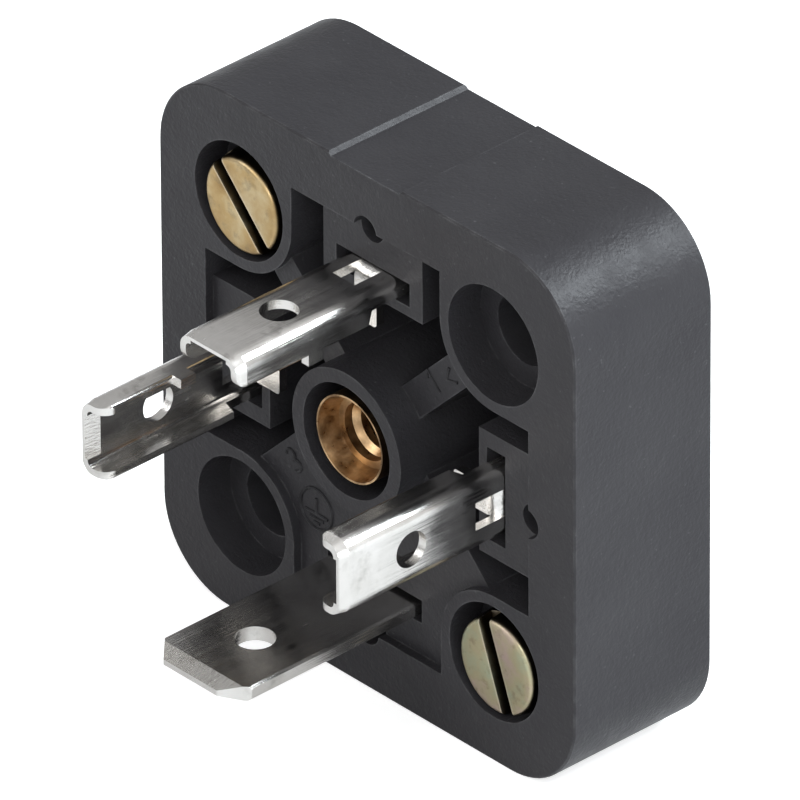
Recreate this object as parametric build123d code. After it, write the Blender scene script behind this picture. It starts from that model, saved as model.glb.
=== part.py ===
"""Panel mount appliance inlet: a square moulded housing with three line contacts, an earth blade,
a threaded insert in its middle boss and two fixing screws.

Millimetres, +Z up. The origin is the centre of the flat rear seat, which lies against the panel.
The mating side faces -Y, and the solder tags stand out behind the seat, towards +Y.
"""
import os
from math import cos, radians, sqrt, tan

from build123d import *

os.makedirs("parts", exist_ok=True)

# Housing
BODY_SIDE = 29.4
BODY_DEPTH = 9.0
BODY_CORNER_R = 4.6
BODY_EDGE_BEVEL = 0.08
BAND_WIDTH = 5.2
BAND_DEPTH = 0.2

# Face recess and the pockets in it
FRAME_WALL = 3.25
RECESS_DEPTH = 0.5
REAR_FLOOR = 2.5
WEB_WIDTH = 1.8
EARTH_WEB_WIDTH = 3.9
NOTCH_D = 1.6
NOTCH_DEPTH = 0.9
NOTCH_SETBACK = 0.1
LEAD_IN_DEPTH = 1.2
LEAD_IN_GAP = 0.5
LEAD_IN_REACH = 1.25
EAR_WALL = 0.9
ISLAND_REACH = 1.8

# Corner holes and fixing screws
HOLE_PITCH = 18.0
SCREW_D = 3.0
SCREW_LENGTH = 10.0
SCREW_END_BEVEL = 0.3
SCREW_PLAY = 0.4
SCREW_DROP = 0.38
HEAD_D = 5.5
HEAD_HEIGHT = 2.0
HEAD_TAPER = 5.0
HEAD_EDGE_BEVEL = 0.2
HEAD_PLAY = 0.4
HEAD_BELOW_FACE = 0.1
COLLAR_WALL = 0.6
DRIVE_SLOT_WIDTH = 0.8
DRIVE_SLOT_DEPTH = 0.9
UPPER_SCREW_TURN = 43.0
LOWER_SCREW_TURN = 20.0

# Middle boss and threaded insert
BOSS_D = 7.7
BOSS_REACH = 1.3
BOSS_GROOVE_WIDTH = 0.72
BOSS_GROOVE_DEPTH = 3.0
INSERT_D = 4.7
INSERT_BELOW_BOSS = 0.2
INSERT_ABOVE_SEAT = 0.4
INSERT_RIM = 0.1
INSERT_MOUTH_TAPER = 0.3
INSERT_MOUTH_DEPTH = 1.1
INSERT_STEP_D = 3.1
INSERT_STEP_DEPTH = 0.5
INSERT_BORE_D = 2.5
GRIP_D = 5.8
GRIP_SIDES = 12
GRIP_LENGTH = 1.5
GRIP_GROOVE_D = 4.4
GRIP_GROOVE_LENGTH = 1.0

# Line contacts, folded from sheet
CONTACT_PITCH = 18.0
SHEET = 0.5
BEND_R = 0.3
CONTACT_WIDTH = 4.2
CONTACT_REACH = 10.2
FLANGE_DEPTH = 1.7
FLANGE_TIP_R = 0.2
FLANGE_CORNER_R = 0.75
FOOT_DEPTH = 0.8
FOOT_START = 1.75
FOOT_SLOPE = 0.25
CONTACT_HOLE_D = 1.95
CONTACT_HOLE_REACH = 5.6
NOSE_LENGTH = 0.6
NOSE_TAPER = 11.0
COIN_WIDTH = 2.5
COIN_LENGTH = 0.85
COIN_DEPTH = 0.2
WINDOW_WIDTH = 1.55
WINDOW_LENGTH = 1.9
TONGUE_OVERHANG = 1.25
TONGUE_CORNER_R = 0.2
LUG_REACH = 5.15
LUG_LENGTH = 0.95
LUG_DEPTH = 0.5

# Earth contact, flat
EARTH_T = 0.8
EARTH_WIDTH = 6.2
EARTH_REACH = 11.6
EARTH_CHAMFER = 1.2
EARTH_BEVEL_LENGTH = 0.9
EARTH_BEVEL_DEPTH = 0.25
EARTH_EDGE_BEVEL = 0.12
EARTH_HOLE_D = 2.05
EARTH_HOLE_REACH = 7.35

# Solder tags behind the seat
TAG_WIDTH = 2.8
EARTH_TAG_WIDTH = 3.2
TAG_REACH = 4.5
TAG_HOLE_D = 1.3
TAG_CHAMFER = 0.6
SHOULDER_ABOVE_SEAT = 1.5

# Clearances
SLOT_GAP = 0.05
CUT_PAST = 1.0

# Sizes that follow from the ones above
HALF_SIDE = BODY_SIDE / 2
HALF_PITCH = HOLE_PITCH / 2
FACE_Y = -BODY_DEPTH
ISLAND_Y = FACE_Y + RECESS_DEPTH
FLOOR_Y = -REAR_FLOOR
BOSS_Y = FACE_Y - BOSS_REACH
SHOULDER_Y = -SHOULDER_ABOVE_SEAT
RECESS_HALF = HALF_SIDE - FRAME_WALL
COUNTERBORE_R = HEAD_D / 2 + HEAD_PLAY
COLLAR_R = COUNTERBORE_R + COLLAR_WALL
ARM_HALF = HALF_PITCH - COLLAR_R
SCREW_HOLE_R = SCREW_D / 2 + SCREW_PLAY
SCREW_SEAT_Y = FACE_Y + HEAD_BELOW_FACE + HEAD_HEIGHT
CONTACT_OUTER = CONTACT_PITCH / 2 + SHEET / 2
FLANGE_TIP = CONTACT_OUTER - FLANGE_DEPTH
FOOT_INNER = CONTACT_OUTER - FOOT_DEPTH
LEAD_IN_WIDTH = CONTACT_WIDTH + 2 * LEAD_IN_GAP
ISLAND_WIDTH = LEAD_IN_WIDTH + 2 * EAR_WALL
ISLAND_END = CONTACT_OUTER - ISLAND_REACH
TONGUE_END = ISLAND_END - TONGUE_OVERHANG
TONGUE_Y = ISLAND_Y - SHEET
WINDOW_Y = ISLAND_Y + BEND_R
EARTH_MID = CONTACT_PITCH / 2
CORNERS = [(x, z) for x in (-HALF_PITCH, HALF_PITCH) for z in (-HALF_PITCH, HALF_PITCH)]
LINE_TURNS = {"contact_top": 0, "contact_right": 90, "contact_left": -90}


def plane_at(y):
    """A plane across the Y axis whose sketches have X and Z as their two directions."""
    return Plane(origin=(0, y, 0), x_dir=(1, 0, 0), z_dir=(0, -1, 0))


def prism(sketch, y_front, y_rear):
    """The sketch, given in X and Z, as a solid from y_front back to y_rear."""
    return extrude(plane_at(y_rear) * sketch, amount=y_rear - y_front)


def strip(width, z_low, z_high):
    """A rectangle in X and Z, centred on X = 0."""
    return Pos(0, (z_low + z_high) / 2) * Rectangle(width, z_high - z_low)


def side_prism(points, width):
    """A closed outline, given in Y and Z, as a solid of this width centred on X = 0."""
    outline = make_face(Polyline(*points, close=True))
    return extrude(Plane.YZ * outline, amount=width / 2, both=True)


def upright_hole(diameter, y, z_low, z_high):
    """A round cutter along Z at this Y."""
    return Pos(0, y, (z_low + z_high) / 2) * Cylinder(diameter / 2, z_high - z_low)


def at_corners(shape):
    """Copies of a sketch at the four corner holes."""
    return Sketch() + [Pos(x, z) * shape for x, z in CORNERS]


def body_block():
    """The square body with rounded corners, bevelled rims and a shallow band across its top."""
    outline = RectangleRounded(BODY_SIDE, BODY_SIDE, BODY_CORNER_R)
    block = prism(outline, FACE_Y, 0)
    ends = block.faces().group_by(Axis.Y)
    rims = ends[0].edges() + ends[-1].edges()
    block = chamfer(rims, BODY_EDGE_BEVEL)
    half = BAND_WIDTH / 2
    floor = HALF_SIDE - BAND_DEPTH
    high = HALF_SIDE + BAND_DEPTH
    reach = half + BAND_DEPTH
    foot = half - BAND_DEPTH
    band = Polygon((-reach, high), (-foot, floor), (foot, floor), (reach, high), align=None)
    return block - prism(band, FACE_Y - CUT_PAST, CUT_PAST)


def recess_outline():
    """The cross-shaped recess, which runs round the corner collars."""
    arm = Rectangle(2 * ARM_HALF, 2 * RECESS_HALF)
    middle = Rectangle(HOLE_PITCH, HOLE_PITCH)
    return arm + Rot(0, 0, 90) * arm + middle - at_corners(Circle(COLLAR_R))


def standing_outline():
    """What stays at the recess floor: islands, webs and the whole earth quarter."""
    island = strip(ISLAND_WIDTH, ISLAND_END, HALF_SIDE)
    web = strip(WEB_WIDTH, 0, sqrt(2) * HALF_PITCH)
    apex = EARTH_WEB_WIDTH / sqrt(2)
    earth = Polygon(
        (0, apex),
        (HALF_SIDE, apex - HALF_SIDE),
        (HALF_SIDE, -HALF_SIDE),
        (-HALF_SIDE, -HALF_SIDE),
        (-HALF_SIDE, apex - HALF_SIDE),
        align=None,
    )
    islands = [Rot(0, 0, turn) * island for turn in LINE_TURNS.values()]
    webs = [Rot(0, 0, turn) * web for turn in (-45, 45)]
    return earth + islands + webs


def line_slot():
    """What a line contact at the top needs cut out of its island, right through to the seat."""
    mouth_inner = CONTACT_OUTER - LEAD_IN_REACH
    outer = CONTACT_OUTER + SLOT_GAP
    front = ISLAND_Y - CUT_PAST
    mouth = strip(LEAD_IN_WIDTH, mouth_inner, outer)
    channel = strip(CONTACT_WIDTH + 2 * SLOT_GAP, FOOT_INNER - SLOT_GAP, outer)
    tag = strip(TAG_WIDTH + 2 * SLOT_GAP, CONTACT_OUTER - SHEET - SLOT_GAP, outer)
    return (
        prism(mouth, front, ISLAND_Y + LEAD_IN_DEPTH)
        + prism(channel, front, SHOULDER_Y)
        + prism(tag, front, CUT_PAST)
    )


def earth_slot():
    """What the earth contact at the bottom needs cut out."""
    half = EARTH_T / 2 + SLOT_GAP
    mouth_half = EARTH_T / 2 + LEAD_IN_GAP / 2
    mouth = strip(EARTH_WIDTH + LEAD_IN_GAP, -EARTH_MID - mouth_half, -EARTH_MID + mouth_half)
    blade = strip(EARTH_WIDTH + 2 * SLOT_GAP, -EARTH_MID - half, -EARTH_MID + half)
    tag = strip(EARTH_TAG_WIDTH + 2 * SLOT_GAP, -EARTH_MID - half, -EARTH_MID + half)
    front = ISLAND_Y - CUT_PAST
    return (
        prism(mouth, front, ISLAND_Y + LEAD_IN_DEPTH)
        + prism(blade, front, SHOULDER_Y)
        + prism(tag, front, CUT_PAST)
    )


def screw_holes():
    """The four counterbored corner holes."""
    counterbores = prism(at_corners(Circle(COUNTERBORE_R)), FACE_Y - CUT_PAST, SCREW_SEAT_Y)
    holes = prism(at_corners(Circle(SCREW_HOLE_R)), FACE_Y - CUT_PAST, CUT_PAST)
    return counterbores + holes


def notches():
    """Round notches in the frame's inner edge, in the middle of each side."""
    centre = RECESS_HALF - NOTCH_SETBACK
    notch = Pos(0, centre) * Circle(NOTCH_D / 2)
    four = Sketch() + [Rot(0, 0, turn) * notch for turn in (0, 90, 180, 270)]
    return prism(four, FACE_Y - CUT_PAST, ISLAND_Y + NOTCH_DEPTH)


def insert_envelope():
    """The outside of the threaded insert: a plain barrel with two many-sided grips and a groove."""
    front = BOSS_Y + INSERT_BELOW_BOSS
    grip_middle = (BOSS_Y + BOSS_GROOVE_DEPTH - INSERT_ABOVE_SEAT) / 2
    groove_front = grip_middle - GRIP_GROOVE_LENGTH / 2
    groove_rear = grip_middle + GRIP_GROOVE_LENGTH / 2
    grip = RegularPolygon(GRIP_D / 2, GRIP_SIDES)
    grips = prism(grip, groove_front - GRIP_LENGTH, groove_rear + GRIP_LENGTH)
    groove = prism(Circle(GRIP_D) - Circle(GRIP_GROOVE_D / 2), groove_front, groove_rear)
    barrel = prism(Circle(INSERT_D / 2), front, -INSERT_ABOVE_SEAT)
    return barrel + grips - groove


def make_housing():
    """The moulded housing, with its boss and everything that the other pieces sit in."""
    recess = recess_outline()
    pockets = recess - standing_outline()
    boss = prism(Circle(BOSS_D / 2), BOSS_Y, FLOOR_Y)
    groove_r = INSERT_D / 2 + BOSS_GROOVE_WIDTH
    groove = prism(Circle(groove_r), BOSS_Y - CUT_PAST, BOSS_Y + BOSS_GROOVE_DEPTH)
    insert_end = prism(Circle(GRIP_GROOVE_D / 2), -INSERT_ABOVE_SEAT, CUT_PAST)
    housing = body_block() - prism(recess, FACE_Y - CUT_PAST, ISLAND_Y)
    housing = housing - prism(pockets, FACE_Y - CUT_PAST, FLOOR_Y) - notches() + boss
    housing = housing - groove - insert_envelope() - insert_end - screw_holes() - earth_slot()
    for turn in LINE_TURNS.values():
        housing = housing - Rot(0, turn, 0) * line_slot()
    return housing


def make_insert():
    """The brass insert: a tapered mouth and a step at the front, and a threaded bore behind them."""
    front = BOSS_Y + INSERT_BELOW_BOSS
    mouth_r = INSERT_D / 2 - INSERT_RIM
    floor_r = mouth_r - INSERT_MOUTH_TAPER
    step_r = INSERT_STEP_D / 2
    bore_r = INSERT_BORE_D / 2
    floor_y = front + INSERT_MOUTH_DEPTH
    step_y = floor_y + INSERT_STEP_DEPTH
    points = [(0, front - CUT_PAST), (mouth_r, front - CUT_PAST), (mouth_r, front), (floor_r, floor_y)]
    points += [(step_r, floor_y), (step_r, step_y), (bore_r, step_y + step_r - bore_r)]
    points += [(bore_r, CUT_PAST), (0, CUT_PAST)]
    return insert_envelope() - revolve(make_face(Polyline(*points, close=True)), axis=Axis.Y)


def tag_solid(width, thickness, z_outer, z_inner):
    """A solder tag from the shoulder to behind the seat, with a bevelled end and a wire hole."""
    tag = prism(strip(width, z_inner, z_outer), SHOULDER_Y, TAG_REACH)
    corners = tag.faces().sort_by(Axis.Y)[-1].edges().filter_by(Axis.Z)
    tag = chamfer(corners, TAG_CHAMFER)
    return tag - upright_hole(TAG_HOLE_D, TAG_REACH / 2, z_inner - thickness, z_outer + thickness)


def channel_solid():
    """The U-shaped sheet of a line contact, with a tapered nose, before it is pierced."""
    outer = strip(CONTACT_WIDTH, FLANGE_TIP, CONTACT_OUTER)
    top_corners = outer.vertices().group_by(Axis.Y)[-1]
    outer = fillet(top_corners, BEND_R + SHEET)
    tip_corners = outer.vertices().group_by(Axis.Y)[0]
    outer = fillet(tip_corners, FLANGE_TIP_R)
    inner = strip(CONTACT_WIDTH - 2 * SHEET, FLANGE_TIP - CUT_PAST, CONTACT_OUTER - SHEET)
    inner = fillet(inner.vertices().group_by(Axis.Y)[-1], BEND_R)
    tip_y = FACE_Y - CONTACT_REACH
    nose_y = tip_y + NOSE_LENGTH
    nose = extrude(plane_at(nose_y) * outer, amount=NOSE_LENGTH, taper=NOSE_TAPER)
    shell = prism(outer, nose_y, SHOULDER_Y) + nose
    return shell - prism(inner, tip_y - CUT_PAST, CUT_PAST)


def side_blank():
    """The side outline of a line contact: deep flanges with a rounded front corner, and a shallow foot."""
    tip_y = FACE_Y - CONTACT_REACH
    step_y = FACE_Y - FOOT_START
    corner = (tip_y, FLANGE_TIP)
    points = [corner, (step_y, FLANGE_TIP), (step_y + FOOT_SLOPE, FOOT_INNER), (SHOULDER_Y, FOOT_INNER)]
    points += [(SHOULDER_Y, CONTACT_OUTER), (tip_y, CONTACT_OUTER)]
    outline = make_face(Polyline(*points, close=True))
    outline = fillet(outline.vertices().sort_by_distance(corner)[0], FLANGE_CORNER_R)
    return extrude(Plane.YZ * outline, amount=CONTACT_WIDTH, both=True)


def coined_tip():
    """What is pressed out of the inner side of the web at its tip."""
    tip_y = FACE_Y - CONTACT_REACH
    inner = CONTACT_OUTER - SHEET
    points = [(tip_y - CUT_PAST, inner - SHEET), (tip_y - CUT_PAST, inner + COIN_DEPTH)]
    points += [(tip_y, inner + COIN_DEPTH), (tip_y + COIN_LENGTH, inner)]
    points += [(tip_y + COIN_LENGTH, inner - SHEET)]
    return side_prism(points, COIN_WIDTH)


def tongue():
    """The tongue folded in from the window, which lies on the island's face and stands over its end."""
    inner = CONTACT_OUTER - SHEET
    root = WINDOW_Y + SHEET
    points = [(TONGUE_Y, TONGUE_END), (TONGUE_Y, CONTACT_OUTER), (root, CONTACT_OUTER)]
    points += [(root, inner), (ISLAND_Y, inner), (ISLAND_Y, TONGUE_END)]
    stem = side_prism(points, WINDOW_WIDTH)
    for z, radius in ((inner, BEND_R), (CONTACT_OUTER, BEND_R + SHEET)):
        bends = stem.edges().filter_by(Axis.X).filter_by_position(Axis.Z, z, z)
        stem = fillet(bends.sort_by(Axis.Y)[0], radius)
    corners = stem.edges().filter_by(Axis.Y).group_by(Axis.Z)[0]
    return fillet(corners, TONGUE_CORNER_R)


def carrier_lug():
    """The stub of the stamping's carrier strip, left on the edge of one flange."""
    y = FACE_Y - LUG_REACH
    lug = strip(SHEET, FLANGE_TIP - LUG_DEPTH, FLANGE_TIP + SHEET)
    return Pos((CONTACT_WIDTH - SHEET) / 2, 0, 0) * prism(lug, y - LUG_LENGTH / 2, y + LUG_LENGTH / 2)


def make_line_contact(turn):
    """A line contact, made at the top and turned about Y to its place."""
    window_low = CONTACT_OUTER - SHEET - BEND_R
    window = strip(WINDOW_WIDTH, window_low, CONTACT_OUTER + CUT_PAST)
    hole_y = FACE_Y - CONTACT_HOLE_REACH
    contact = (channel_solid() & side_blank()) - coined_tip()
    contact = contact - prism(window, ISLAND_Y - WINDOW_LENGTH, WINDOW_Y) + tongue()
    contact = contact - upright_hole(CONTACT_HOLE_D, hole_y, window_low, CONTACT_OUTER + CUT_PAST)
    contact = contact + carrier_lug() + tag_solid(TAG_WIDTH, SHEET, CONTACT_OUTER, CONTACT_OUTER - SHEET)
    return Rot(0, turn, 0) * contact


def make_earth_contact():
    """The flat earth blade with clipped corners, a bevelled tip and bevelled long edges."""
    z_low = -EARTH_MID - EARTH_T / 2
    z_high = -EARTH_MID + EARTH_T / 2
    tip_y = FACE_Y - EARTH_REACH
    blade = prism(strip(EARTH_WIDTH, z_low, z_high), tip_y, SHOULDER_Y)
    corners = blade.faces().sort_by(Axis.Y)[0].edges().filter_by(Axis.Z)
    blade = chamfer(corners, EARTH_CHAMFER)
    long_edges = blade.edges().filter_by(Axis.Y)
    blade = chamfer(long_edges, EARTH_EDGE_BEVEL)
    bevel_end = tip_y + EARTH_BEVEL_LENGTH
    for side, skin in ((1, z_high), (-1, z_low)):
        deep = skin - side * EARTH_BEVEL_DEPTH
        past = skin + side * EARTH_T
        wedge = [(tip_y, deep), (bevel_end, skin), (bevel_end, past), (tip_y, past)]
        blade = blade - side_prism(wedge, BODY_SIDE)
    hole_y = FACE_Y - EARTH_HOLE_REACH
    blade = blade - upright_hole(EARTH_HOLE_D, hole_y, z_low - EARTH_T, z_high + EARTH_T)
    return blade + tag_solid(EARTH_TAG_WIDTH, EARTH_T, z_high, z_low)


def make_screw(x, z, slot_turn):
    """A slotted cheese-head screw, seated in its counterbore and dropped by its own weight."""
    head_top = -HEAD_HEIGHT
    top_r = HEAD_D / 2 - HEAD_HEIGHT * tan(radians(HEAD_TAPER))
    shank_r = SCREW_D / 2
    end_r = shank_r - SCREW_END_BEVEL
    points = [(0, head_top), (top_r - HEAD_EDGE_BEVEL, head_top), (top_r, head_top + HEAD_EDGE_BEVEL)]
    points += [(HEAD_D / 2, 0), (shank_r, 0), (shank_r, SCREW_LENGTH - SCREW_END_BEVEL)]
    points += [(end_r, SCREW_LENGTH), (0, SCREW_LENGTH)]
    screw = revolve(make_face(Polyline(*points, close=True)), axis=Axis.Y)
    slot = prism(Rectangle(DRIVE_SLOT_WIDTH, 2 * HEAD_D), head_top - CUT_PAST, head_top + DRIVE_SLOT_DEPTH)
    screw = screw - Rot(0, -slot_turn, 0) * slot
    return Pos(x, SCREW_SEAT_Y, z - SCREW_DROP) * screw


def save(name, shape):
    """Write one sub-part as the file of that name."""
    export_step(shape, f"parts/{name}.step")


def main():
    save("housing", make_housing())
    save("threaded_insert", make_insert())
    save("earth_contact", make_earth_contact())
    for name, turn in LINE_TURNS.items():
        save(name, make_line_contact(turn))
    save("fixing_screw_upper", make_screw(-HALF_PITCH, HALF_PITCH, UPPER_SCREW_TURN))
    save("fixing_screw_lower", make_screw(HALF_PITCH, -HALF_PITCH, LOWER_SCREW_TURN))


main()
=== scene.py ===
"""Looks for the panel mount appliance inlet: materials, threads, moulded signs, light and camera.

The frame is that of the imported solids: metres, +Z up, origin at the centre of the rear seat,
mating side towards -Y. The sizes of pieces below are in millimetres. A piece is made in
millimetres too, and finish_piece brings it to metres. Materials, floor and lamps are in metres,
so that a noise of scale 5000 has a grain of about 0.2 mm.
"""
from math import cos, pi, radians, sin, tan

import bmesh
import bpy
from mathutils import Matrix, Vector


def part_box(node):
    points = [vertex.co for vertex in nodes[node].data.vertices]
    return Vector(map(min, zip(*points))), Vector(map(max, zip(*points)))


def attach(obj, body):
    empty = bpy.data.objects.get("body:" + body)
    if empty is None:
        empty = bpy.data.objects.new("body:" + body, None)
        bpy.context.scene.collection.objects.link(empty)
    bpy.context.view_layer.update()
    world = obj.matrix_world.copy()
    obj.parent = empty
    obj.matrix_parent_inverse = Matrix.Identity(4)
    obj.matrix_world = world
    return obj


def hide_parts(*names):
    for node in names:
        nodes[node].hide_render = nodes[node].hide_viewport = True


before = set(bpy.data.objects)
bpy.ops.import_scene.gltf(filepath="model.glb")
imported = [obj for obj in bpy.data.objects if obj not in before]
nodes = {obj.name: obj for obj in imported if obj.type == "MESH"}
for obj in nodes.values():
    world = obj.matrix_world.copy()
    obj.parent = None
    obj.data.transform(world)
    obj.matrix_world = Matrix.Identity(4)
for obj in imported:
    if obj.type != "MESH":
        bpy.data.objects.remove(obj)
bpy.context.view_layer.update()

MM = 0.001
WELD = 0.001
SMOOTH_ANGLE = radians(32.0)

# Housing
FACE_Y = -9.0
RECESS_Y = -8.5
HALF_SIDE = 14.7

# Fixing screws, M3 cheese heads. The slots turn by SCREW_TURNS degrees from upright.
HEAD_HEIGHT = 2.0
HEAD_TAPER = radians(5.0)
HEAD_RIM_R = 0.25
HEAD_RIM_STEPS = 4
HEAD_SIDES = 96
SLOT_WIDTH = 0.8
SLOT_DEPTH = 0.9
EDGE_SOFTENING = 0.05
SOFTENED_ANGLE = radians(40.0)
SCREW_TURNS = {"fixing_screw_upper": 43.0, "fixing_screw_lower": 20.0}

# M3 thread. The flats and the flank are parts of the pitch.
PITCH = 0.5
MAJOR_R = 1.5
MINOR_R = 1.23
ROOT_FLAT = 0.25
CREST_FLAT = 0.125
FLANK = (1 - ROOT_FLAT - CREST_FLAT) / 2
THREAD_SIDES = 48
SPARE_TURNS = 2
END_BEVEL = 0.3
THREAD_RUN_IN = 0.5
SHANK_CLEARANCE = 0.1
SHANK_SIDES = 50
BORE_START = 1.85
BORE_LAND_R = 1.2

# Moulded signs on the recess floor, as (x, z). A bar of the earth sign is (drop, half its length).
BEAD_R = 0.085
SIGN_RING_R = 1.12
SIGN_RING_SIDES = 36
SIGN_CENTRE = (-4.12, -6.55)
SIGN_BARS = ((0.28, 0.8), (0.56, 0.5), (0.8, 0.22))
SIGN_STEM_TOP = 0.6
FIGURE_HEIGHT = 1.25
FIGURE_TURN = radians(45.0)
FIGURE_STEPS = 12
THREE_CENTRE = (-5.74, -4.5)
ONE_CENTRE = (4.3, 4.62)
CHEVRON_CENTRE = (5.45, 5.35)

# Light, where a level of 1 is white. In shiny surfaces the sky turns from SKY_LEFT to white
# between the two values that SKY_TURN gives for the X of its direction.
WORLD_LIGHT = 0.4
SKY_LEFT = 0.5
SKY_TURN = (-0.6, 0.1)
FLOOR_PAINT = 0.76
FLOOR_GLOW = 0.64
FLOOR_GLOW_MIRRORED = 0.1
FLOOR_HALF = 3.0
LAMP_DISTANCE = 0.5
WHITE = (1.0, 1.0, 1.0)
COOL = (0.88, 0.95, 1.0)

# Camera, fitted to the photograph. Its aim is the middle of the front face, moved by CAMERA_RIGHT
# and CAMERA_UP.
AZIMUTH = radians(47.395)
ELEVATION = radians(32.16)
ROLL = radians(-0.3)
CAMERA_DISTANCE = 1090.55
CAMERA_RIGHT = 1.629
CAMERA_UP = 1.514
LENS = 1018.2
SENSOR = 36.0
CLIP_NEAR = 0.01
CLIP_FAR = 50.0

LINE_CONTACTS = ("contact_top", "contact_left", "contact_right")

scene = bpy.context.scene


def new_piece(name, bm):
    """Turn a bmesh into an object of the scene."""
    mesh = bpy.data.meshes.new(name)
    bm.to_mesh(mesh)
    bm.free()
    piece = bpy.data.objects.new(name, mesh)
    scene.collection.objects.link(piece)
    return piece


def final_mesh(piece):
    """The mesh that a curve or a piece with modifiers comes to."""
    bpy.context.view_layer.update()
    graph = bpy.context.evaluated_depsgraph_get()
    return bpy.data.meshes.new_from_object(piece.evaluated_get(graph))


def bake_modifiers(piece):
    """Put what the modifiers make into the mesh itself."""
    mesh = final_mesh(piece)
    piece.modifiers.clear()
    piece.data = mesh


def combine(base, tool, operation):
    """Join the tool to the base, cut it out, or keep what they share; the tool goes away."""
    modifier = base.modifiers.new("combine", "BOOLEAN")
    modifier.operation = operation
    modifier.solver = "EXACT"
    modifier.object = tool
    bake_modifiers(base)
    bpy.data.objects.remove(tool)


def finish_piece(piece, material, slot, *replaced):
    """Bring a piece to metres and give it its finish and its place in the part."""
    mesh = piece.data
    mesh.transform(Matrix.Scale(MM, 4))
    mesh.materials.clear()
    mesh.materials.append(material)
    mesh.polygons.foreach_set("use_smooth", [True] * len(mesh.polygons))
    mesh.set_sharp_from_angle(angle=SMOOTH_ANGLE)
    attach(piece, "root")
    if replaced:
        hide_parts(*replaced)


def lathe(name, profile, sides):
    """A solid turned about Y from (radius, y) points that start and end on the axis."""
    bm = bmesh.new()
    rings = []
    for radius, y in profile:
        count = sides if radius > 0 else 1
        angles = [2 * pi * k / sides for k in range(count)]
        rings.append([bm.verts.new((radius * sin(t), y, radius * cos(t))) for t in angles])
    for ring, following in zip(rings, rings[1:]):
        for k in range(sides):
            corners = [ring[k % len(ring)], ring[(k + 1) % len(ring)]]
            corners += [following[(k + 1) % len(following)], following[k % len(following)]]
            bm.faces.new(list(dict.fromkeys(corners)))
    bmesh.ops.recalc_face_normals(bm, faces=bm.faces)
    return new_piece(name, bm)


def thread_rod(name, root_r, y_start, turns):
    """A right-handed M3 thread along Y, closed at both ends."""
    section = ((0, root_r), (ROOT_FLAT, root_r), (ROOT_FLAT + FLANK, MAJOR_R), (1 - FLANK, MAJOR_R))
    step = len(section)
    bm = bmesh.new()
    grid = []
    for turn in range(turns):
        for part, radius in section:
            row = []
            for k in range(THREAD_SIDES):
                t = 2 * pi * k / THREAD_SIDES
                y = y_start + PITCH * (turn + part + k / THREAD_SIDES)
                row.append(bm.verts.new((radius * sin(t), y, radius * cos(t))))
            grid.append(row)
    last = len(grid) - 1
    for i in range(last):
        for k in range(THREAD_SIDES - 1):
            bm.faces.new((grid[i][k], grid[i][k + 1], grid[i + 1][k + 1], grid[i + 1][k]))
    for i in range(last - step):
        bm.faces.new((grid[i][-1], grid[i + step][0], grid[i + step + 1][0], grid[i + 1][-1]))
    low_rim = grid[0] + [grid[i][0] for i in range(step, 0, -1)]
    high_rim = grid[last] + [grid[i][-1] for i in range(last - 1, last - step - 1, -1)]
    for rim, y in ((low_rim, y_start + PITCH), (high_rim, y_start + PITCH * (turns - 0.5))):
        middle = bm.verts.new((0, y, 0))
        for a, b in zip(rim, rim[1:] + rim[:1]):
            bm.faces.new((a, b, middle))
    bmesh.ops.recalc_face_normals(bm, faces=bm.faces)
    return new_piece(name, bm)


def make_screw(node, material, slot):
    """A slotted cheese-head screw with its thread, in the place of the plain one."""
    low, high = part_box(node)
    middle = (low + high) / 2 / MM
    head_r = (high.x - low.x) / 2 / MM
    length = (high.y - low.y) / MM

    top_r = head_r - HEAD_HEIGHT * tan(HEAD_TAPER)
    profile = [(0, 0)]
    for k in range(HEAD_RIM_STEPS + 1):
        t = pi / 2 * k / HEAD_RIM_STEPS
        profile.append((top_r - HEAD_RIM_R * (1 - sin(t)), HEAD_RIM_R * (1 - cos(t))))
    profile += [(head_r, HEAD_HEIGHT), (0, HEAD_HEIGHT)]
    screw = lathe(node + "_threaded", profile, HEAD_SIDES)

    # The cutter is centred on the top of the head and is longer than the head is wide
    slot_size = Matrix.Diagonal((SLOT_WIDTH, 2 * SLOT_DEPTH, 3 * head_r, 1))
    slot_turn = Matrix.Rotation(radians(-SCREW_TURNS[node]), 4, "Y")
    bm = bmesh.new()
    bmesh.ops.create_cube(bm, size=1.0, matrix=slot_turn @ slot_size)
    combine(screw, new_piece("slot_cutter", bm), "DIFFERENCE")

    softening = screw.modifiers.new("softening", "BEVEL")
    softening.width = EDGE_SOFTENING
    softening.segments = 2
    softening.angle_limit = SOFTENED_ANGLE
    bake_modifiers(screw)

    wide = MAJOR_R + SHANK_CLEARANCE
    start = HEAD_HEIGHT - THREAD_RUN_IN
    envelope = [(0, start), (wide, start), (wide, length - END_BEVEL - SHANK_CLEARANCE)]
    envelope += [(MAJOR_R - END_BEVEL, length), (0, length)]
    shank = lathe("shank_envelope", envelope, SHANK_SIDES)
    turns = round((length - start) / PITCH) + 2 * SPARE_TURNS + 1
    thread = thread_rod("shank_thread", MINOR_R, start - SPARE_TURNS * PITCH, turns)
    combine(shank, thread, "INTERSECT")
    combine(screw, shank, "UNION")
    screw.data.transform(Matrix.Translation((middle.x, low.y / MM, middle.z)))
    finish_piece(screw, material, slot, node)


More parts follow.
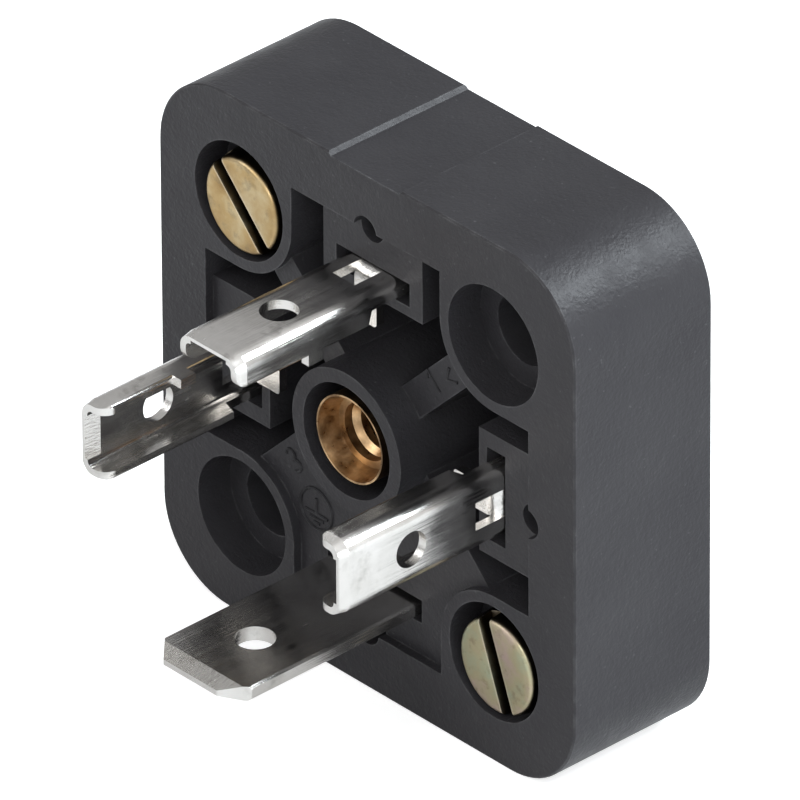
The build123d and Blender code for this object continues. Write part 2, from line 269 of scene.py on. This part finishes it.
def make_insert(material):
    """The brass insert with the thread cut into its bore."""
    bm = bmesh.new()
    bm.from_mesh(nodes["threaded_insert"].data)
    bmesh.ops.scale(bm, vec=(1 / MM, 1 / MM, 1 / MM), verts=bm.verts)
    bmesh.ops.remove_doubles(bm, verts=bm.verts, dist=WELD)
    insert = new_piece("insert_with_thread", bm)
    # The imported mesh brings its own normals, which don't fit the new faces
    packed_normals = insert.data.attributes.get("custom_normal")
    if packed_normals is not None:
        insert.data.attributes.remove(packed_normals)
    low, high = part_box("threaded_insert")
    start = low.y / MM + BORE_START
    turns = round((high.y / MM - start) / PITCH) + 2 * SPARE_TURNS
    combine(insert, thread_rod("bore_thread", BORE_LAND_R, start, turns), "DIFFERENCE")
    finish_piece(insert, material, "insert", "threaded_insert")


def arc(centre, radius, start, end, steps):
    """Points of an arc; angles in degrees, from +X towards +Z."""
    angles = [radians(start + (end - start) * k / steps) for k in range(steps + 1)]
    return [(centre[0] + radius * cos(t), centre[1] + radius * sin(t)) for t in angles]


def placed(points, centre, turn=0.0):
    """Points turned and moved to where they belong on the recess floor."""
    c, s = cos(turn), sin(turn)
    return [(centre[0] + c * x - s * z, centre[1] + s * x + c * z) for x, z in points]


def bead(bm, points, closed=False):
    """Add a thin round bead along (x, z) points, half sunk in the recess floor."""
    curve = bpy.data.curves.new("bead", "CURVE")
    curve.dimensions = "3D"
    curve.bevel_depth = BEAD_R
    curve.bevel_resolution = 2
    curve.use_fill_caps = True
    line = curve.splines.new("POLY")
    line.points.add(len(points) - 1)
    for point, (x, z) in zip(line.points, points):
        point.co = (x, RECESS_Y, z, 1)
    line.use_cyclic_u = closed
    holder = bpy.data.objects.new("bead", curve)
    scene.collection.objects.link(holder)
    bm.from_mesh(final_mesh(holder))
    bpy.data.objects.remove(holder)


def make_signs(material):
    """The earth sign in its ring and the plain figures, moulded proud of the recess floor."""
    bm = bmesh.new()
    last_angle = 360 - 360 / SIGN_RING_SIDES
    bead(bm, arc(SIGN_CENTRE, SIGN_RING_R, 0, last_angle, SIGN_RING_SIDES - 1), closed=True)
    bead(bm, placed([(0, SIGN_STEM_TOP), (0, -SIGN_BARS[0][0])], SIGN_CENTRE))
    for drop, half in SIGN_BARS:
        bead(bm, placed([(-half, -drop), (half, -drop)], SIGN_CENTRE))
    lobe = FIGURE_HEIGHT / 4
    three = arc((0, lobe), lobe, 150, -90, FIGURE_STEPS)
    three += arc((0, -lobe), lobe, 90, -150, FIGURE_STEPS)[1:]
    bead(bm, placed(three, THREE_CENTRE, FIGURE_TURN))
    one = [(-lobe, lobe), (0, FIGURE_HEIGHT / 2), (0, -FIGURE_HEIGHT / 2)]
    bead(bm, placed(one, ONE_CENTRE, FIGURE_TURN))
    chevron = [(lobe, FIGURE_HEIGHT / 3), (-lobe, 0), (lobe, -FIGURE_HEIGHT / 3)]
    bead(bm, placed(chevron, CHEVRON_CENTRE, FIGURE_TURN))
    bmesh.ops.remove_doubles(bm, verts=bm.verts, dist=WELD)
    finish_piece(new_piece("moulded_signs", bm), material, "housing")


class Nodes:
    """A short way to write a node tree."""

    def __init__(self, tree):
        self.tree = tree
        tree.nodes.clear()

    def feed(self, socket, value):
        """Link an output to a socket, or set the socket to a value."""
        if isinstance(value, bpy.types.NodeSocket):
            self.tree.links.new(value, socket)
        else:
            socket.default_value = value

    def node(self, kind, **inputs):
        """Add a node, with inputs given by their names and _ for a space."""
        n = self.tree.nodes.new("ShaderNode" + kind)
        for key, value in inputs.items():
            self.feed(n.inputs[key.replace("_", " ")], value)
        return n

    def math(self, operation, a, b):
        """A sum, product or maximum, kept within 0 and 1."""
        n = self.node("Math")
        n.operation = operation
        n.use_clamp = True
        self.feed(n.inputs[0], a)
        self.feed(n.inputs[1], b)
        return n.outputs[0]

    def span(self, value, low, high, from_low=0.3, from_high=0.7):
        """Bring a value from one range to another, ends kept."""
        n = self.node("MapRange", Value=value, From_Min=from_low, From_Max=from_high)
        n.inputs["To Min"].default_value = low
        n.inputs["To Max"].default_value = high
        return n.outputs["Result"]

    def mix(self, factor, a, b, kind="RGBA"):
        """Blend two colours, or two numbers where kind is FLOAT."""
        n = self.node("Mix")
        n.data_type = kind
        sockets = {s.name: s for s in n.inputs if s.enabled}
        self.feed(sockets["Factor"], factor)
        self.feed(sockets["A"], a)
        self.feed(sockets["B"], (*b, 1.0) if isinstance(b, tuple) else b)
        return [s for s in n.outputs if s.enabled][0]


class Finish(Nodes):
    """A material with one principled shader."""

    def __init__(self, name, **constants):
        self.material = bpy.data.materials.new(name)
        self.material.use_nodes = True
        super().__init__(self.material.node_tree)
        self.bsdf = self.node("BsdfPrincipled", **constants)
        self.node("OutputMaterial", Surface=self.bsdf.outputs["BSDF"])

    def dress(self, colour, roughness, *bumps):
        """Colour, roughness, and bumps that are each a height and its depth in metres."""
        self.feed(self.bsdf.inputs["Base Color"], colour)
        self.feed(self.bsdf.inputs["Roughness"], roughness)
        normal = None
        for height, depth in bumps:
            n = self.node("Bump", Height=height, Distance=depth, Strength=1.0)
            if normal is not None:
                self.feed(n.inputs["Normal"], normal)
            normal = n.outputs["Normal"]
        self.feed(self.bsdf.inputs["Normal"], normal)

    def noise(self, scale, detail=3.0, rough=0.55, stretch=(1, 1, 1)):
        """Noise in the part's own frame; a small stretch value draws it out along that axis."""
        coords = self.node("TexCoord").outputs["Object"]
        vector = self.node("Mapping", Vector=coords, Scale=stretch).outputs["Vector"]
        n = self.node("TexNoise", Vector=vector, Scale=scale, Detail=detail, Roughness=rough)
        return n.outputs["Fac"]

    def ramp(self, value, stops):
        """Colours by value, from (place, colour) stops."""
        n = self.node("ValToRGB", Fac=value)
        elements = n.color_ramp.elements
        while len(elements) < len(stops):
            elements.new(0.5)
        for element, (place, colour) in zip(elements, stops):
            element.position = place
            element.color = (*colour, 1.0)
        return n.outputs["Color"]

    def edges(self, radius, sharpness):
        """How near a point lies to an outer or inner edge, 0 to 1."""
        n = self.node("VectorMath")
        n.operation = "DOT_PRODUCT"
        self.feed(n.inputs[0], self.node("Bevel", Radius=radius).outputs["Normal"])
        self.feed(n.inputs[1], self.node("NewGeometry").outputs["Normal"])
        return self.span(n.outputs["Value"], 1.0, 0.0, 1.0 - sharpness, 1.0)

    def painted_recess_shade(self, reach):
        """How hidden a point is from the open, 0 to 1, for painted shade in slots and corners."""
        n = self.node("AmbientOcclusion", Distance=reach)
        return self.span(n.outputs["AO"], 1.0, 0.0, 0.35, 0.85)


def make_plastic(name, dark, pale, wear_and_highlight):
    """Fine matte moulded plastic with pale specks, and edges made pale in patches, partly for
    rubbing and partly as a painted highlight.
    """
    s = Finish(name, Metallic=0.0, IOR=1.5, Specular_IOR_Level=0.18)
    base = s.ramp(s.noise(160.0, 4.0), [(0.3, dark), (0.7, pale)])
    specks = s.span(s.noise(4200.0, 1.0), 0.0, 0.25, 0.72, 0.8)
    base = s.mix(specks, base, wear_and_highlight)
    patches = s.span(s.noise(900.0), 0.0, 0.6, 0.42, 0.66)
    # Pale edges in patches: partly rubbing, partly a painted highlight along the edges
    edge_rub_and_highlight = s.math("MULTIPLY", s.edges(radius=0.00014, sharpness=0.12), patches)
    roughness = s.span(s.noise(650.0, 5.0, 0.65), 0.33, 0.5)
    grain = (s.noise(5600.0), 0.00003)
    ripple = (s.noise(1900.0, 2.0), 0.00003)
    sink = (s.noise(240.0, 2.0), 0.00003)
    s.dress(s.mix(edge_rub_and_highlight, base, wear_and_highlight), roughness, grain, ripple, sink)
    return s.material


def make_tin():
    """Bright tin plate with rolling lines along the contacts and dull stains."""
    s = Finish("bright_tin", Metallic=1.0)
    base = s.ramp(s.noise(300.0, 4.0), [(0.3, (0.6, 0.585, 0.56)), (0.7, (0.76, 0.745, 0.725))])
    stain = s.span(s.noise(700.0, 4.0, 0.65), 0.0, 0.45, 0.56, 0.72)
    base = s.mix(stain, base, (0.3, 0.285, 0.26))
    streak = s.noise(3000.0, stretch=(1, 0.06, 1))
    blotch = s.span(s.noise(520.0), 0.0, 0.1)
    roughness = s.math("ADD", s.span(streak, 0.12, 0.2), blotch)
    rolled = (s.noise(9000.0, stretch=(1, 0.03, 1)), 0.000014)
    dents = (s.noise(420.0, 1.0), 0.000016)
    s.dress(base, roughness, rolled, (streak, 0.000006), dents)
    return s.material


def make_brass():
    """Turned brass with blotches, fine turning marks and painted shade that darkens its corners and
    hollows.
    """
    s = Finish("turned_brass", Metallic=1.0)
    tones = [(0.36, (0.17, 0.105, 0.055)), (0.5, (0.38, 0.25, 0.135)), (0.62, (0.68, 0.47, 0.26))]
    base = s.ramp(s.noise(620.0, 4.0), tones)
    # Painted shade: the brass turns darker where the occlusion mask finds corners and hollows
    base = s.mix(s.painted_recess_shade(reach=0.0012), base, (0.22, 0.14, 0.075))
    roughness = s.span(s.noise(2500.0), 0.26, 0.44)
    turning = (s.noise(5000.0, 2.0, stretch=(0.1, 1, 0.1)), 0.000006)
    dents = (s.noise(1800.0, 2.0), 0.000012)
    s.dress(base, roughness, turning, dents)
    return s.material


def make_chromate(name, stops):
    """Chromate film on zinc: mottled, worn in spots, bright at the edges, and with painted shade
    that turns it black in the slot and corners.
    """
    s = Finish(name, Metallic=1.0)
    film = s.ramp(s.noise(520.0, 4.0, 0.6), stops)
    worn = s.span(s.noise(1500.0, 4.0, 0.65), 0.0, 0.5, 0.56, 0.7)
    film = s.mix(worn, film, (0.2, 0.16, 0.1))
    rim = s.math("MULTIPLY", s.edges(radius=0.00022, sharpness=0.12), 0.8)
    film = s.mix(rim, film, (0.78, 0.7, 0.54))
    # Painted shade: the film turns black where the occlusion mask finds the slot and corners
    film = s.mix(s.painted_recess_shade(reach=0.003), film, (0.03, 0.022, 0.014))
    roughness = s.span(s.noise(2400.0), 0.28, 0.46)
    s.dress(film, roughness, (s.noise(2600.0), 0.00001), (s.noise(600.0, 2.0), 0.00002))
    return s.material


def dress_node(name, material):
    """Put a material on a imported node."""
    mesh = nodes[name].data
    mesh.materials.clear()
    mesh.materials.append(material)


def make_pieces():
    """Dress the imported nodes, and make the pieces that stand for three of them and the signs."""
    plastic = make_plastic(
        "housing_plastic", (0.026, 0.025, 0.028), (0.034, 0.033, 0.036), (0.15, 0.15, 0.155))
    # The signs' plastic is darker than the housing's: painted shade, standing for the shade along
    # their thin moulded lines
    shade_painted_sign_plastic = make_plastic(
        "sign_plastic", (0.014, 0.0135, 0.015), (0.019, 0.0185, 0.02), (0.08, 0.08, 0.085))
    tin = make_tin()
    dress_node("housing", plastic)
    for name in (*LINE_CONTACTS, "earth_contact"):
        dress_node(name, tin)
    make_insert(make_brass())
    yellow = [(0.3, (0.33, 0.21, 0.085)), (0.5, (0.44, 0.31, 0.145)), (0.7, (0.54, 0.44, 0.27))]
    make_screw("fixing_screw_upper", make_chromate("yellow_chromate", yellow), "screw_upper")
    pale = [(0.3, (0.36, 0.4, 0.28)), (0.5, (0.43, 0.38, 0.24)), (0.7, (0.5, 0.38, 0.34))]
    make_screw("fixing_screw_lower", make_chromate("pale_chromate", pale), "screw_lower")
    make_signs(shade_painted_sign_plastic)


def make_floor():
    """A pale floor that the camera sees white, with the object's shadow on it."""
    bm = bmesh.new()
    bmesh.ops.create_grid(bm, x_segments=1, y_segments=1, size=FLOOR_HALF)
    floor = new_piece("floor", bm)
    floor.location.z = -HALF_SIDE * MM
    material = bpy.data.materials.new("floor_white")
    material.use_nodes = True
    s = Nodes(material.node_tree)
    path = s.node("LightPath").outputs
    seen = s.math("MULTIPLY", path["Is Camera Ray"], FLOOR_GLOW)
    mirrored = s.math("MULTIPLY", path["Is Glossy Ray"], FLOOR_GLOW_MIRRORED)
    glow = s.node("Emission", Strength=s.math("ADD", seen, mirrored))
    paint = s.node("BsdfDiffuse", Color=(FLOOR_PAINT, FLOOR_PAINT, FLOOR_PAINT, 1))
    both = s.node("AddShader")
    s.feed(both.inputs[0], paint.outputs[0])
    s.feed(both.inputs[1], glow.outputs[0])
    s.node("OutputMaterial", Surface=both.outputs[0])
    floor.data.materials.append(material)


def make_world():
    """White where a camera or glass looks at it, and a softer grey as a light.

    Shiny surfaces see it white on the right and greyer on the left, like a room lit from one side.
    """
    world = bpy.data.worlds.new("studio")
    scene.world = world
    world.use_nodes = True
    s = Nodes(world.node_tree)
    path = s.node("LightPath").outputs
    seen = s.math("MAXIMUM", path["Is Camera Ray"], path["Is Transmission Ray"])
    level = s.span(seen, WORLD_LIGHT, 1.0, 0.0, 1.0)
    direction = s.node("SeparateXYZ", Vector=s.node("TexCoord").outputs["Generated"])
    sky = s.span(direction.outputs["X"], SKY_LEFT, 1.0, *SKY_TURN)
    strength = s.mix(path["Is Glossy Ray"], level, sky, kind="FLOAT")
    background = s.node("Background", Color=(*WHITE, 1), Strength=strength)
    s.node("OutputWorld", Surface=background.outputs[0])


def area_light(name, direction, size, watts, colour=WHITE):
    """A round lamp that looks at the object from a direction."""
    light = bpy.data.lights.new(name, "AREA")
    light.shape = "DISK"
    light.size = size
    light.energy = watts
    light.color = colour
    lamp = bpy.data.objects.new(name, light)
    scene.collection.objects.link(lamp)
    lamp.location = Vector(direction).normalized() * LAMP_DISTANCE
    lamp.rotation_euler = (-lamp.location).to_track_quat("-Z", "Y").to_euler()


def make_camera():
    """A long lens at the photograph's angle."""
    back = Vector((sin(AZIMUTH) * cos(ELEVATION), -cos(AZIMUTH) * cos(ELEVATION), sin(ELEVATION)))
    level_right = Vector((cos(AZIMUTH), sin(AZIMUTH), 0))
    level_up = back.cross(level_right)
    right = level_right * cos(ROLL) + level_up * sin(ROLL)
    up = level_up * cos(ROLL) - level_right * sin(ROLL)
    place = Vector((0, FACE_Y, 0)) + back * CAMERA_DISTANCE + right * CAMERA_RIGHT + up * CAMERA_UP
    data = bpy.data.cameras.new("camera")
    data.lens = LENS
    data.sensor_width = SENSOR
    data.clip_start = CLIP_NEAR
    data.clip_end = CLIP_FAR
    camera = bpy.data.objects.new("camera", data)
    scene.collection.objects.link(camera)
    turn = Matrix((right, up, back)).transposed().to_4x4()
    camera.matrix_world = Matrix.Translation(place * MM) @ turn
    scene.camera = camera


make_pieces()
make_floor()
make_world()
area_light("key", (-0.5, -1.0, 0.8), size=0.35, watts=0.74)
area_light("front", (0.62, -0.57, 0.53), size=0.3, watts=0.92)
area_light("corner", (0.44, 0.57, 0.66), size=0.26, watts=3.4, colour=COOL)
area_light("side", (1.0, 0.05, 0.12), size=0.3, watts=1.1, colour=COOL)
make_camera()
scene.view_settings.view_transform = "Standard"
